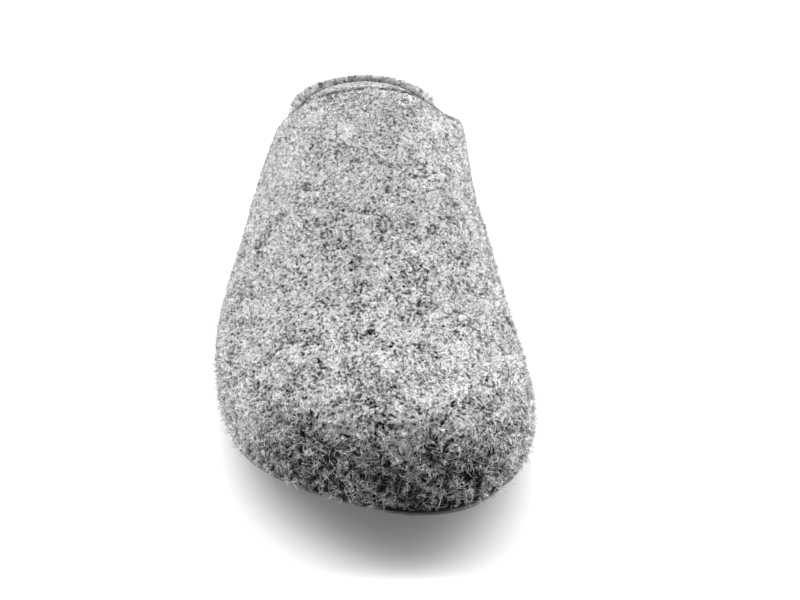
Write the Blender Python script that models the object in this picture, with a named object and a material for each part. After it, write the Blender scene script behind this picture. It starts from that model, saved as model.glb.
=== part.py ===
"""Felt mule slipper for the right foot: a felt upper, a felt footbed and a rubber outsole.

Sizes are in millimetres and become metres where vertices are made. The toe points to -Y,
the medial side is +X and the sole stands on Z 0. A station is a share of the length, from
0 at the back of the heel to 1 at the tip of the toe, and a side is -1 for lateral, 1 for medial.
"""
import bmesh
import bpy
import numpy as np

MM = 0.001
LATERAL, MEDIAL = -1, 1
SIDE_NAME = {LATERAL: "lateral", MEDIAL: "medial"}

# Driving dimensions
LENGTH = 275.0
FELT_WALL = 3.5
SEAT_GAP = 0.3
SOLE_AT_BALL = 10.0
SOLE_AT_HEEL = 18.0
FEATHER_TOE_RISE = 9.0
SOLE_TOE_SPRING = 15.0
ARCH_LIFT = 2.5
FOOTBED_AT_HEEL = 8.5
FOOTBED_AT_TOE = 4.5


def table(columns, rows):
    """A short table as one array for each named column."""
    return dict(zip(columns.split(), np.array(rows, dtype=float).T))


# Half-widths of the upper at its foot from the line X 0, and how far its wall swells past them
SECTIONS = table("share lateral medial lateral_swell medial_swell", [
    (0.00, 38.0, 27.5, 0.0, 0.0),
    (0.14, 38.2, 28.5, 0.3, 0.5),
    (0.22, 37.6, 30.5, 1.2, 2.6),
    (0.30, 37.8, 33.0, 2.4, 5.4),
    (0.45, 43.7, 37.5, 2.6, 2.9),
    (0.60, 50.0, 44.3, 1.6, 1.4),
    (0.70, 53.6, 48.9, 0.9, 0.8),
    (0.80, 52.6, 52.5, 0.6, 0.5),
    (0.90, 52.8, 52.3, 0.4, 0.3),
    (1.00, 43.5, 51.6, 0.3, 0.3),
])
SWELL_TOP = 0.6

# The ridge of the instep and forefoot; behind the throat it is only the aim of the side walls
RIDGE = table("share height offset", [
    (0.12, 72.0, -5.0),
    (0.25, 78.0, -3.0),
    (0.46, 81.0, 0.0),
    (0.60, 70.5, 2.5),
    (0.70, 60.5, 4.0),
    (0.80, 52.2, 6.0),
    (0.925, 47.1, 9.5),
])

# Height of the collar's edge, from the low rim at the heel to the throat on the instep
TOPLINE = table("share lateral medial", [
    (0.000, 28.5, 28.5),
    (0.100, 28.8, 28.8),
    (0.200, 30.5, 33.0),
    (0.280, 36.0, 42.0),
    (0.333, 43.5, 48.7),
    (0.380, 54.5, 57.5),
    (0.420, 66.5, 67.5),
    (0.445, 75.3, 75.6),
    (0.460, 81.0, 81.0),
])
THROAT = TOPLINE["share"][-1]

# Plan rounding: the heel is an ellipse, and each side of the toe a superellipse
HEEL_ROUND = 0.135
TOE_START = {LATERAL: 0.70, MEDIAL: 0.81}
TOE_POWER = {LATERAL: 2.07, MEDIAL: 2.27}

# The foot's middle line swings to the medial side at the toe and to the lateral side at the heel
TOE_TIP_X = 13.5
TOE_SWING_FIRST = 0.5
TOE_SWING_POWER = 1.5
HEEL_TIP_X = -5.5
HEEL_SWING_LAST = 0.4

# The walls aim at ridge points that stop short of heel and toe, which rounds both ends
RIDGE_FIRST = 0.12
RIDGE_LAST = 0.925
RIDGE_EASE = 0.05
FULLNESS_ACROSS = 2.3
FULLNESS_UP = 2.1

BACK_COLUMNS = 26
FAN_POWER = 1.9
FAN_FIRST, FAN_LAST = 0.25, 0.9
THROAT_LEAN = 0.08
VAMP_COLUMNS = 22
WALL_ROWS = 12

# Outsole: a wedge down from the heel, flat heel and forefoot pads, a lifted arch and a sprung toe
WEDGE_FIRST, WEDGE_LAST = 0.12, 0.62
TOE_RISE_FIRST = 0.70
ARCH_FIRST, ARCH_LAST = 0.30, 0.56
SPRING_FIRST = 0.76
LIP_FIRST, LIP_LAST = 0.80, 0.92
TOE_UNDERCUT = 3.0
UNDERCUT_FIRST = 0.38
SOLE_STATIONS = 64
GROOVE_DEPTH = 1.2
GROOVE_WIDTH = 3.0
GROOVE_DRAFT = 0.6
GROOVE_CLEAR = 1.5
GROOVES = (0.08, 0.135, 0.19, 0.245, 0.58, 0.62, 0.66, 0.70, 0.74)

# Side of the outsole from top to bottom: a chamfered lip, a step and a drafted wall
SOLE_SIDE = table("depth inset", [
    (0.00, 0.5),
    (0.10, 0.0),
    (0.32, 0.0),
    (0.38, 0.7),
    (0.85, 1.2),
    (1.00, 2.6),
])

# How far the outsole stands out from the felt round the toe: a lip at the big toe, tucked in beside it
TOE_LIP = table("x lip", [
    (-60.0, -1.6),
    (1.0, -1.6),
    (9.0, 0.7),
    (33.0, 0.7),
    (42.0, -1.3),
    (60.0, -1.3),
])

# Footbed: its edge from bottom to top, then its dished top towards the middle
FOOTBED_GAP = 0.5
FOOTBED_STATIONS = 44
FOOTBED_DISH_HEEL = 1.6
FOOTBED_DISH_TOE = 0.5
FOOTBED_TAPER_FIRST, FOOTBED_TAPER_LAST = 0.2, 0.8
FOOTBED_EDGE = table("rise inset", [
    (0.00, 0.0),
    (0.72, 0.0),
    (0.92, 0.4),
    (1.00, 1.4),
])
DISH_SHARES = (0.35, 1.0)

WELD = 0.01
SHARP_EDGE = np.radians(40)


def natural_spline(knots, values, places):
    """Natural cubic spline through a table column, held at its ends."""
    spans = np.diff(knots)
    slopes = np.diff(values) / spans
    system = np.eye(len(knots))
    target = np.zeros(len(knots))
    for i in range(1, len(knots) - 1):
        system[i, i - 1:i + 2] = spans[i - 1], 2 * (spans[i - 1] + spans[i]), spans[i]
        target[i] = 6 * (slopes[i] - slopes[i - 1])
    bends = np.linalg.solve(system, target)
    places = np.clip(places, knots[0], knots[-1])
    i = np.clip(np.searchsorted(knots, places) - 1, 0, len(spans) - 1)
    after = (places - knots[i]) / spans[i]
    before = 1 - after
    curve = (before ** 3 - before) * bends[i] + (after ** 3 - after) * bends[i + 1]
    return before * values[i] + after * values[i + 1] + curve * spans[i] ** 2 / 6


def share_of(value, first, last):
    """How far a value has come from first to last, held between 0 and 1."""
    return np.clip((value - first) / (last - first), 0, 1)


def smooth_step(value, first, last):
    share = share_of(value, first, last)
    return share ** 2 * (3 - 2 * share)


def soft_cap(value, limit, ease):
    """The value itself, bent over to stay at the limit, with an eased turn."""
    turn = limit - (limit + ease - value) ** 2 / (4 * ease)
    return np.where(value < limit - ease, value, np.where(value > limit + ease, limit, turn))


def feather_height(station):
    """Height of the line where felt and outsole meet."""
    wedge = SOLE_AT_HEEL + (SOLE_AT_BALL - SOLE_AT_HEEL) * smooth_step(station, WEDGE_FIRST, WEDGE_LAST)
    return wedge + FEATHER_TOE_RISE * share_of(station, TOE_RISE_FIRST, 1) ** 2


def tread_height(station):
    """Height of the outsole's underside, without its grooves."""
    arch = np.sin(np.pi * share_of(station, ARCH_FIRST, ARCH_LAST)) ** 2
    return ARCH_LIFT * arch + SOLE_TOE_SPRING * share_of(station, SPRING_FIRST, 1) ** 2


def section_value(column, station):
    return natural_spline(SECTIONS["share"], SECTIONS[column], station)


def outline_x(station, side):
    """Plan outline of the upper's foot, on one side."""
    half = section_value(SIDE_NAME[side], station)
    middle = TOE_TIP_X * share_of(station, TOE_SWING_FIRST, 1) ** TOE_SWING_POWER
    middle = middle + HEEL_TIP_X * share_of(station, HEEL_SWING_LAST, 0)
    heel = np.sqrt(1 - share_of(station, HEEL_ROUND, 0) ** 2)
    power = TOE_POWER[side]
    toe = (1 - share_of(station, TOE_START[side], 1) ** power) ** (1 / power)
    return middle + (side * half - middle) * heel * toe


def ridge_point(station):
    """Station, offset and height of the ridge that the wall at a station leans to."""
    aim = soft_cap(-soft_cap(-station, -RIDGE_FIRST, RIDGE_EASE), RIDGE_LAST, RIDGE_EASE)
    offset = natural_spline(RIDGE["share"], RIDGE["offset"], aim)
    height = natural_spline(RIDGE["share"], RIDGE["height"], aim)
    return aim, offset, height


def felt_point(station, rise, side):
    """Point on the upper's outer face; rise runs from 0 at the sole to 1 at the ridge."""
    aim, ridge_x, ridge_z = ridge_point(station)
    foot_x, foot_z = outline_x(station, side), feather_height(station)
    across = 1 - np.cos(rise * np.pi / 2) ** (2 / FULLNESS_ACROSS)
    up = np.sin(rise * np.pi / 2) ** (2 / FULLNESS_UP)
    way_x, way_y = ridge_x - foot_x, LENGTH * (station - aim)
    swell = section_value(SIDE_NAME[side] + "_swell", station)
    swell = swell * np.sin(np.pi * np.clip(rise / SWELL_TOP, 0, 1)) ** 2
    inwards = across - swell / np.hypot(way_x, way_y)
    x = foot_x + way_x * inwards
    y = LENGTH * (0.5 - station) + way_y * inwards
    z = foot_z + (ridge_z - foot_z) * up
    return np.stack([x, y, z], axis=-1)


def topline_rise(station, side):
    """Rise at which the wall ends: at the collar's edge, or at the ridge before the throat."""
    height = natural_spline(TOPLINE["share"], TOPLINE[SIDE_NAME[side]], station)
    foot = feather_height(station)
    up = np.clip((height - foot) / (ridge_point(station)[2] - foot), 0, 1)
    collar = 2 / np.pi * np.arcsin(up ** (FULLNESS_UP / 2))
    return np.where(station < THROAT, collar, 1.0)


def even_stations(count):
    """Stations from heel to toe that crowd towards both rounded ends."""
    return (1 - np.cos(np.linspace(0, np.pi, count))) / 2


def wall_columns():
    """Foot and top stations of the upper's columns, which lean back to meet the throat squarely."""
    throat_foot = THROAT + THROAT_LEAN
    turn = np.arccos(1 - 2 * throat_foot)
    angles = np.append(np.linspace(0, turn, BACK_COLUMNS, endpoint=False),
                       np.linspace(turn, np.pi, VAMP_COLUMNS + 1))
    feet = (1 - np.cos(angles)) / 2
    way = np.clip(np.arange(len(feet)) / BACK_COLUMNS, 0, 1)
    collar = THROAT * (1 - (1 - way) ** FAN_POWER)
    collar = feet + (collar - feet) * smooth_step(way, FAN_FIRST, FAN_LAST)
    ridge = feet - THROAT_LEAN * (1 - feet) / (1 - throat_foot)
    return feet, np.where(way < 1, collar, ridge)


def plan_line(stations, side, inset):
    """Plan outline on one side, moved inwards by an inset, as X and Y."""
    x = outline_x(stations, side)
    y = LENGTH * (0.5 - stations)
    turn = np.arccos(1 - 2 * stations)
    along_x, along_y = np.gradient(x, turn), np.gradient(y, turn)
    along_y[[0, -1]] = 0
    size = np.hypot(along_x, along_y)
    return x + side * along_y / size * inset, y - side * along_x / size * inset


def rings_to_mesh(name, rings):
    """Closed mesh through rings of points, one ring for each station."""
    mesh_data = bmesh.new()
    loops = [[mesh_data.verts.new(point * MM) for point in ring] for ring in rings]
    for loop, following in zip(loops, loops[1:]):
        for i in range(len(loop)):
            mesh_data.faces.new((loop[i - 1], loop[i], following[i], following[i - 1]))
    return finish_mesh(name, mesh_data)


def finish_mesh(name, mesh_data):
    """Weld coinciding points and make a smooth-shaded mesh with its faces pointing out."""
    bmesh.ops.remove_doubles(mesh_data, verts=mesh_data.verts, dist=WELD * MM)
    bmesh.ops.dissolve_degenerate(mesh_data, edges=mesh_data.edges, dist=WELD * MM)
    bmesh.ops.recalc_face_normals(mesh_data, faces=mesh_data.faces)
    mesh = bpy.data.meshes.new(name)
    mesh_data.to_mesh(mesh)
    mesh_data.free()
    mesh.shade_smooth()
    mesh.set_sharp_from_angle(angle=SHARP_EDGE)
    return mesh


def felt_upper():
    """Outer face of the upper, from lateral and medial walls that meet at heel, ridge and toe."""
    feet, tops = wall_columns()
    way = np.linspace(0, 1, WALL_ROWS + 1)
    stations = feet[:, None] + (tops - feet)[:, None] * way
    mesh_data = bmesh.new()
    for side in (LATERAL, MEDIAL):
        rises = topline_rise(tops, side)[:, None] * way
        grid = [[mesh_data.verts.new(point * MM) for point in column]
                for column in felt_point(stations, rises, side)]
        for column, following in zip(grid, grid[1:]):
            for i in range(WALL_ROWS):
                mesh_data.faces.new((column[i], column[i + 1], following[i + 1], following[i])[::-side])
    return finish_mesh("upper", mesh_data)


def groove_depth(station):
    """Depth of the cross grooves, which have drafted sides."""
    away = np.min([np.abs(station - groove) for groove in GROOVES], axis=0) * LENGTH
    return GROOVE_DEPTH * share_of(away, GROOVE_WIDTH / 2 + GROOVE_DRAFT, GROOVE_WIDTH / 2)


def sole_stations():
    """Even stations, with the edges of each groove in place of those inside it."""
    half = np.array([GROOVE_WIDTH / 2, GROOVE_WIDTH / 2 + GROOVE_DRAFT]) / LENGTH
    edges = np.array([groove + sign * edge for groove in GROOVES for sign in (-1, 1) for edge in half])
    even = even_stations(SOLE_STATIONS)
    nearest = np.min(np.abs(even[:, None] - np.array(GROOVES)), axis=1)
    return np.sort(np.append(even[nearest > GROOVE_CLEAR * half[1]], edges))


def rubber_outsole():
    """Outsole: a lip under the felt, a stepped side and a grooved tread."""
    stations = sole_stations()
    toe = smooth_step(stations, LIP_FIRST, LIP_LAST)
    walls = {}
    for side in (LATERAL, MEDIAL):
        lip = toe * np.interp(outline_x(stations, side), TOE_LIP["x"], TOE_LIP["lip"])
        wall = []
        for depth, inset in zip(SOLE_SIDE["depth"], SOLE_SIDE["inset"]):
            undercut = toe * TOE_UNDERCUT * share_of(depth, UNDERCUT_FIRST, 1)
            x, y = plan_line(stations, side, inset + undercut - lip)
            top = feather_height(0.5 - y / LENGTH) - SEAT_GAP
            z = top + (tread_height(stations) - top) * depth
            wall.append(np.stack([x, y, z], axis=-1))
        wall[-1][:, 2] += groove_depth(stations)
        walls[side] = wall
    return rings_to_mesh("outsole", np.stack(walls[LATERAL] + walls[MEDIAL][::-1], axis=1))


def felt_footbed():
    """Footbed: it lies on the outsole inside the upper, with a rounded edge and a dished top."""
    stations = even_stations(FOOTBED_STATIONS)
    taper = smooth_step(stations, FOOTBED_TAPER_FIRST, FOOTBED_TAPER_LAST)
    thick = FOOTBED_AT_HEEL + (FOOTBED_AT_TOE - FOOTBED_AT_HEEL) * taper
    dish = FOOTBED_DISH_HEEL + (FOOTBED_DISH_TOE - FOOTBED_DISH_HEEL) * taper
    edges = {}
    for side in (LATERAL, MEDIAL):
        edges[side] = []
        for rise, inset in zip(FOOTBED_EDGE["rise"], FOOTBED_EDGE["inset"]):
            x, y = plan_line(stations, side, FELT_WALL + FOOTBED_GAP + inset)
            edges[side].append(np.stack([x, y, feather_height(0.5 - y / LENGTH) + thick * rise], axis=-1))
    middle = (edges[LATERAL][-1] + edges[MEDIAL][-1]) / 2
    width = np.abs(edges[MEDIAL][-1][:, 0] - edges[LATERAL][-1][:, 0])
    fade = width / np.max(width)
    for side in (LATERAL, MEDIAL):
        rim = edges[side][-1]
        for share in DISH_SHARES:
            point = rim + (middle - rim) * share
            point[:, 2] -= dish * fade * (1 - (1 - share) ** 2)
            edges[side].append(point)
    return rings_to_mesh("insole", np.stack(edges[LATERAL] + edges[MEDIAL][::-1][1:], axis=1))


def plain_material(name, colour, roughness):
    material = bpy.data.materials.new(name)
    material.use_nodes = True
    shader = material.node_tree.nodes["Principled BSDF"]
    shader.inputs["Base Color"].default_value = (*colour, 1.0)
    shader.inputs["Roughness"].default_value = roughness
    shader.inputs["Metallic"].default_value = 0.0
    return material


def place(mesh, material, parent):
    """Object for one piece, under the slipper's empty."""
    piece = bpy.data.objects.new(mesh.name, mesh)
    mesh.materials.append(material)
    bpy.context.collection.objects.link(piece)
    piece.parent = parent
    return piece


for leftover in list(bpy.data.objects):
    bpy.data.objects.remove(leftover)

slipper = bpy.data.objects.new("slipper", None)
bpy.context.collection.objects.link(slipper)

heather_felt = plain_material("heather_felt", (0.40, 0.40, 0.40), 0.95)
footbed_felt = plain_material("footbed_felt", (0.52, 0.52, 0.52), 0.95)
grey_rubber = plain_material("grey_rubber", (0.09, 0.09, 0.09), 0.6)

upper = place(felt_upper(), heather_felt, slipper)
wall = upper.modifiers.new("felt_wall", "SOLIDIFY")
wall.thickness = FELT_WALL * MM
wall.offset = -1
wall.use_even_offset = True

outsole = place(rubber_outsole(), grey_rubber, slipper)
insole = place(felt_footbed(), footbed_felt, slipper)

# The plan box of the whole slipper is centred on the origin
corners = np.array([vertex.co for piece in (upper, outsole, insole) for vertex in piece.data.vertices])
slipper.location.x = -(corners[:, 0].min() + corners[:, 0].max()) / 2
slipper.location.y = -(corners[:, 1].min() + corners[:, 1].max()) / 2
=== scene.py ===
"""Looks of a felt mule slipper for the right foot: rubber outsole, felt upper, felt footbed and wool nap.

Sizes are in millimetres and become metres where vertices are made. The toe points to -Y and the
medial side is +X. A station is a share of the length, from 0 at the heel to 1 at the toe's tip,
and a side is -1 for lateral, 1 for medial.
"""

import bmesh
import bpy
import numpy as np
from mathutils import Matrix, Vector, kdtree, noise


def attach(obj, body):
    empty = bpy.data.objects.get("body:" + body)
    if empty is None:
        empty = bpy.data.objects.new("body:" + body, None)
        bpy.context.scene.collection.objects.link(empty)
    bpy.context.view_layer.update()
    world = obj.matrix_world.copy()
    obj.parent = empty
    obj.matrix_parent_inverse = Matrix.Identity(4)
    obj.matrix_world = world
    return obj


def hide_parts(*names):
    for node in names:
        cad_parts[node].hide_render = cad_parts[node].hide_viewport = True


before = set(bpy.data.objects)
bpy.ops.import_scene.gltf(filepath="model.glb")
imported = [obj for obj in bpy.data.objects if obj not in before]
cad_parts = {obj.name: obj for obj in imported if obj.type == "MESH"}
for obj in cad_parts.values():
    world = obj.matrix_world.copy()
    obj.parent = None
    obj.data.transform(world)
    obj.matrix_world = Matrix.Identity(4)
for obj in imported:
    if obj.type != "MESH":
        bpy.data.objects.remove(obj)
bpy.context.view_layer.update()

# Outsole. One piece of moulded grey rubber: a lip that shows under the felt at the big toe, a
# stepped side, a lifted arch, a sprung toe and a grooved tread. The felt is cemented to its top.
MM = 0.001
LENGTH = 275.0
FRAME_SHIFT = np.array([0.464, 0.35, 0.0])
LATERAL, MEDIAL = -1, 1
SIDE_NAME = {LATERAL: "lateral", MEDIAL: "medial"}
WELD = 0.01
SHARP_EDGE = np.radians(40)


def table(columns, rows):
    """A short table as one array for each named column."""
    return dict(zip(columns.split(), np.array(rows, dtype=float).T))


# Half-widths of the last from the line X 0, and how far the felt wall swells past them
SECTIONS = table("share lateral medial lateral_swell medial_swell", [
    (0.00, 38.0, 27.5, 0.0, 0.0),
    (0.14, 38.2, 28.5, 0.3, 0.5),
    (0.22, 37.6, 30.5, 1.2, 2.6),
    (0.30, 37.8, 33.0, 2.4, 5.4),
    (0.45, 43.7, 37.5, 2.6, 2.9),
    (0.60, 50.0, 44.3, 1.6, 1.4),
    (0.70, 53.6, 48.9, 0.9, 0.8),
    (0.80, 52.6, 52.5, 0.6, 0.5),
    (0.90, 52.8, 52.3, 0.4, 0.3),
    (1.00, 43.5, 51.6, 0.3, 0.3),
])
HEEL_ROUND = 0.135
TOE_START = {LATERAL: 0.70, MEDIAL: 0.81}
TOE_POWER = {LATERAL: 2.07, MEDIAL: 2.27}
TOE_TIP_X, TOE_SWING_FIRST, TOE_SWING_POWER = 13.5, 0.5, 1.5
HEEL_TIP_X, HEEL_SWING_LAST = -5.5, 0.4

SEAT_GAP = 0.3
SOLE_AT_BALL, SOLE_AT_HEEL = 10.0, 18.0
WEDGE_FIRST, WEDGE_LAST = 0.12, 0.62
FEATHER_TOE_RISE, TOE_RISE_FIRST = 9.0, 0.70
ARCH_LIFT, ARCH_FIRST, ARCH_LAST = 2.5, 0.30, 0.56
SOLE_TOE_SPRING, SPRING_FIRST = 15.0, 0.76
LIP_FIRST, LIP_LAST = 0.62, 0.80
TOE_UNDERCUT, UNDERCUT_FIRST = 3.0, 0.38
SOLE_STATIONS = 260
GROOVE_DEPTH, GROOVE_WIDTH, GROOVE_DRAFT = 1.2, 3.0, 0.6
GROOVES = (0.08, 0.135, 0.19, 0.245, 0.58, 0.62, 0.66, 0.70, 0.74)

# Side of the outsole from top to bottom: a chamfered lip, a step and a drafted wall
SOLE_SIDE = table("depth inset", [
    (0.00, 0.5),
    (0.04, 0.15),
    (0.10, 0.0),
    (0.32, 0.0),
    (0.36, 0.3),
    (0.38, 0.7),
    (0.62, 0.9),
    (0.85, 1.2),
    (0.94, 1.7),
    (1.00, 2.6),
])

# How far the outsole stands out from the felt round the toe: a lip at the big toe, tucked in beside it
TOE_LIP = table("x lip", [
    (-60.0, -1.6),
    (-6.0, -1.6),
    (0.0, -1.2),
    (6.0, 0.0),
    (12.0, 0.6),
    (20.0, 0.7),
    (27.0, 0.5),
    (33.0, -0.4),
    (39.0, -1.5),
    (60.0, -1.6),
])


def natural_spline(knots, values, places):
    """Natural cubic spline through a table column, held at its ends."""
    spans = np.diff(knots)
    slopes = np.diff(values) / spans
    system = np.eye(len(knots))
    target = np.zeros(len(knots))
    for i in range(1, len(knots) - 1):
        system[i, i - 1:i + 2] = spans[i - 1], 2 * (spans[i - 1] + spans[i]), spans[i]
        target[i] = 6 * (slopes[i] - slopes[i - 1])
    bends = np.linalg.solve(system, target)
    places = np.clip(places, knots[0], knots[-1])
    i = np.clip(np.searchsorted(knots, places) - 1, 0, len(spans) - 1)
    after = (places - knots[i]) / spans[i]
    before = 1 - after
    curve = (before ** 3 - before) * bends[i] + (after ** 3 - after) * bends[i + 1]
    return before * values[i] + after * values[i + 1] + curve * spans[i] ** 2 / 6


def share_of(value, first, last):
    """How far a value has come from first to last, held between 0 and 1."""
    return np.clip((value - first) / (last - first), 0, 1)


def smooth_step(value, first, last):
    share = share_of(value, first, last)
    return share ** 2 * (3 - 2 * share)


def feather_height(station):
    """Height of the line where felt and outsole meet."""
    wedge = SOLE_AT_HEEL + (SOLE_AT_BALL - SOLE_AT_HEEL) * smooth_step(station, WEDGE_FIRST, WEDGE_LAST)
    return wedge + FEATHER_TOE_RISE * share_of(station, TOE_RISE_FIRST, 1) ** 2


def tread_height(station):
    """Height of the outsole's underside, with its drafted cross grooves."""
    arch = np.sin(np.pi * share_of(station, ARCH_FIRST, ARCH_LAST)) ** 2
    away = np.min([np.abs(station - groove) for groove in GROOVES], axis=0) * LENGTH
    groove = GROOVE_DEPTH * share_of(away, GROOVE_WIDTH / 2 + GROOVE_DRAFT, GROOVE_WIDTH / 2)
    return ARCH_LIFT * arch + SOLE_TOE_SPRING * share_of(station, SPRING_FIRST, 1) ** 2, groove


def section_value(column, station):
    return natural_spline(SECTIONS["share"], SECTIONS[column], station)


def outline_x(station, side):
    """Plan outline of the last's foot, on one side."""
    half = section_value(SIDE_NAME[side], station)
    middle = TOE_TIP_X * share_of(station, TOE_SWING_FIRST, 1) ** TOE_SWING_POWER
    middle = middle + HEEL_TIP_X * share_of(station, HEEL_SWING_LAST, 0)
    heel = np.sqrt(1 - share_of(station, HEEL_ROUND, 0) ** 2)
    power = TOE_POWER[side]
    toe = (1 - share_of(station, TOE_START[side], 1) ** power) ** (1 / power)
    return middle + (side * half - middle) * heel * toe


def plan_line(stations, side, inset):
    """Plan outline on one side, moved inwards by an inset, as X and Y."""
    x = outline_x(stations, side)
    y = LENGTH * (0.5 - stations)
    turn = np.arccos(1 - 2 * stations)
    along_x, along_y = np.gradient(x, turn), np.gradient(y, turn)
    along_y[[0, -1]] = 0
    size = np.hypot(along_x, along_y)
    return x + side * along_y / size * inset, y - side * along_x / size * inset


def even_stations(count):
    """Stations from heel to toe that crowd towards both rounded ends."""
    return (1 - np.cos(np.linspace(0, np.pi, count))) / 2


def sole_stations():
    """Even stations, with those nearest to a groove's edges moved onto them."""
    stations = even_stations(SOLE_STATIONS)
    half = np.array([GROOVE_WIDTH / 2, GROOVE_WIDTH / 2 + GROOVE_DRAFT]) / LENGTH
    for groove in GROOVES:
        for edge in (*(groove - half), *(groove + half)):
            stations[np.argmin(np.abs(stations - edge))] = edge
    return stations


def welded(skin):
    """Points, normals and faces of a bmesh whose coinciding points are joined."""
    bmesh.ops.remove_doubles(skin, verts=skin.verts, dist=WELD)
    bmesh.ops.dissolve_degenerate(skin, edges=skin.edges, dist=WELD)
    bmesh.ops.recalc_face_normals(skin, faces=skin.faces)
    skin.verts.index_update()
    points = np.array([vertex.co for vertex in skin.verts])
    normals = np.array([vertex.normal for vertex in skin.verts])
    return points, normals, [[vertex.index for vertex in face.verts] for face in skin.faces]


def lofted(rings):
    """Points and faces of a closed skin through rings of points, one ring for each station."""
    skin = bmesh.new()
    loops = [[skin.verts.new(point) for point in ring] for ring in rings]
    for loop, following in zip(loops, loops[1:]):
        for i in range(len(loop)):
            skin.faces.new((loop[i - 1], loop[i], following[i], following[i - 1]))
    points, _, faces = welded(skin)
    skin.free()
    return points, faces


def outsole_skin():
    stations = sole_stations()
    toe = smooth_step(stations, LIP_FIRST, LIP_LAST)
    tread, groove = tread_height(stations)
    walls = {}
    for side in (LATERAL, MEDIAL):
        lip = toe * np.interp(outline_x(stations, side), TOE_LIP["x"], TOE_LIP["lip"])
        wall = []
        for depth, inset in zip(SOLE_SIDE["depth"], SOLE_SIDE["inset"]):
            undercut = toe * TOE_UNDERCUT * share_of(depth, UNDERCUT_FIRST, 1)
            x, y = plan_line(stations, side, inset + undercut - lip)
            top = feather_height(0.5 - y / LENGTH) - SEAT_GAP
            wall.append(np.stack([x, y, top + (tread - top) * depth], axis=-1))
        wall[-1][:, 2] += groove
        walls[side] = wall
    return lofted(np.stack(walls[LATERAL] + walls[MEDIAL][::-1], axis=1))


def riding_piece(name, mesh, material):
    """A piece of a mesh and its material, riding on the slipper's one body."""
    mesh.materials.append(material)
    piece = bpy.data.objects.new(name, mesh)
    bpy.context.collection.objects.link(piece)
    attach(piece, "root")
    return piece


def new_piece(name, points, faces, material, slot):
    """Smooth-shaded piece with sharp edges, from points in millimetres."""
    mesh = bpy.data.meshes.new(name)
    mesh.from_pydata((points + FRAME_SHIFT) * MM, [], faces)
    mesh.shade_smooth()
    mesh.set_sharp_from_angle(angle=SHARP_EDGE)
    return riding_piece(name, mesh, material)


def linear_colour(hex_colour):
    """Linear RGBA of an sRGB hex colour."""
    srgb = np.array([int(hex_colour[i:i + 2], 16) for i in (1, 3, 5)]) / 255
    linear = np.where(srgb <= 0.04045, srgb / 12.92, ((srgb + 0.055) / 1.055) ** 2.4)
    return (*(float(channel) for channel in linear), 1.0)


def add_node(tree, kind, sockets, **settings):
    """A shader node with its settings; a socket takes a value, or a node and the name of its output."""
    node = tree.nodes.new("ShaderNode" + kind)
    for name, value in settings.items():
        setattr(node, name, value)
    for name, value in sockets.items():
        if isinstance(value, tuple) and isinstance(value[0], bpy.types.Node):
            tree.links.new(value[0].outputs[value[1]], node.inputs[name])
        else:
            node.inputs[name].default_value = value
    return node


def new_material(name):
    """A node material, with its tree and its principled shader."""
    material = bpy.data.materials.new(name)
    material.use_nodes = True
    return material, material.node_tree, material.node_tree.nodes["Principled BSDF"]


# Moulded rubber: matt and slightly mottled, with the fine grain of a blasted mould
RUBBER_GRAIN = 0.5 * MM
RUBBER_CLOUD = 14 * MM
moulded_rubber, tree, shader = new_material("moulded_rubber")
place = add_node(tree, "TexCoord", {})
cloud = add_node(tree, "TexNoise", {"Vector": (place, "Object"), "Scale": 1 / RUBBER_CLOUD, "Detail": 3.0})
grain = add_node(tree, "TexNoise", {"Vector": (place, "Object"), "Scale": 1 / RUBBER_GRAIN, "Detail": 2.0})
colour = add_node(tree, "Mix", {"Factor": (cloud, "Fac"), "A": linear_colour("#404041"),
                                "B": linear_colour("#4e4e50")}, data_type="RGBA")
rough = add_node(tree, "MapRange", {"Value": (grain, "Fac"), "To Min": 0.55, "To Max": 0.8})
relief = add_node(tree, "Bump", {"Height": (grain, "Fac"), "Strength": 0.35, "Distance": 0.08 * MM})
tree.links.new(colour.outputs["Result"], shader.inputs["Base Color"])
tree.links.new(rough.outputs["Result"], shader.inputs["Roughness"])
tree.links.new(relief.outputs["Normal"], shader.inputs["Normal"])
shader.inputs["IOR"].default_value = 1.52
shader.inputs["Metallic"].default_value = 0.0

outsole = new_piece("rubber_outsole", *outsole_skin(), moulded_rubber, "sole_rubber")
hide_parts("outsole")

# Upper. Vamp, side walls and low heel rim in one piece of thick grey heather wool felt, shaped on
# a last. Its wall is 3.5 mm with its nap, with a soft cut edge round the collar and the throat,
# and its foot stands on the outsole.
FELT_WALL = 3.5
NAP_DEPTH = 0.6
SWELL_TOP = 0.6

# The ridge of instep and forefoot; behind the throat it is only the aim of the side walls
RIDGE = table("share height offset", [
    (0.12, 72.0, -5.0),
    (0.25, 78.0, -3.0),
    (0.46, 81.0, 0.0),
    (0.60, 70.5, 2.5),
    (0.70, 60.5, 4.0),
    (0.80, 52.2, 6.0),
    (0.925, 47.1, 9.5),
])

# Height of the collar's edge, from the low rim at the heel to the throat on the instep
TOPLINE = table("share lateral medial", [
    (0.000, 28.5, 28.5),
    (0.100, 28.8, 28.8),
    (0.200, 30.5, 33.0),
    (0.280, 36.0, 42.0),
    (0.333, 43.5, 48.7),
    (0.380, 54.5, 57.5),
    (0.420, 66.5, 67.5),
    (0.445, 75.3, 75.6),
    (0.460, 81.0, 81.0),
])
THROAT = TOPLINE["share"][-1]

# The cut edge: how round it is, how far the rim slopes inwards at the heel, and its trim there for the nap
EDGE_STEPS = 8
EDGE_FULLNESS = 0.85
RIM_SLOPE, RIM_FIRST_Y, RIM_LAST_Y = 0.26, 50.0, 90.0
HEEL_TRIM, TRIM_FIRST, TRIM_LAST = 1.2, 0.0, 0.07

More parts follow.
